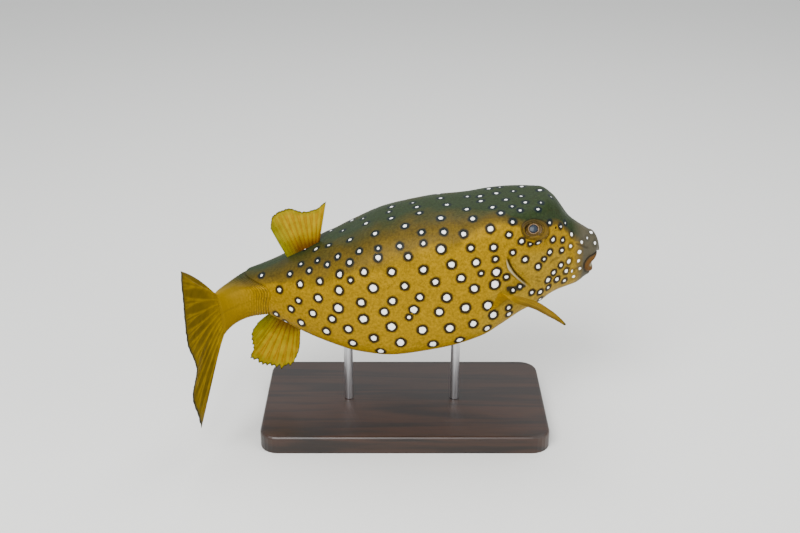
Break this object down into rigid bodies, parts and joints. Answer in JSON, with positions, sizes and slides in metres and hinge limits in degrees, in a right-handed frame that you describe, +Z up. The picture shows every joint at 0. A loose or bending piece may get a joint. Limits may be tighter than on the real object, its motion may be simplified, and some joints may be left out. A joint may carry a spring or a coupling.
{
  "type": "yellow boxfish, still life-size model on a display stand",
  "caption": "Life-size model of a spotted boxfish with its tail fin swung aside, held over a flat base by short rods.",
  "frame": {"origin": "middle of the flat underside of the stand's base", "axes": "+X towards the snout, +Y towards the fish's left side, +Z up"},
  "size_m": [0.2572, 0.1451, 0.163],
  "materials": {
    "skin": "wet skin, mustard yellow with dark-ringed white spots, olive on the back",
    "fin": "thin skin between rays, yellow, a little translucent",
    "eye": "glossy",
    "lip": "soft brown-orange skin",
    "walnut": "satin, dark stained",
    "steel": "brushed"
  },
  "bodies": {
    "root": {"head": "skin", "torso": "skin", "tail_stem": "skin", "eye_right": "eye", "eye_left": "eye", "lip_upper": "lip", "lip_lower": "lip", "caudal_fin": "fin", "dorsal_fin": "fin", "anal_fin": "fin", "pectoral_fin_right": "fin", "pectoral_fin_left": "fin", "stand_base": "walnut", "stand_rod_front": "steel", "stand_rod_rear": "steel"}
  },
  "joints": []
}
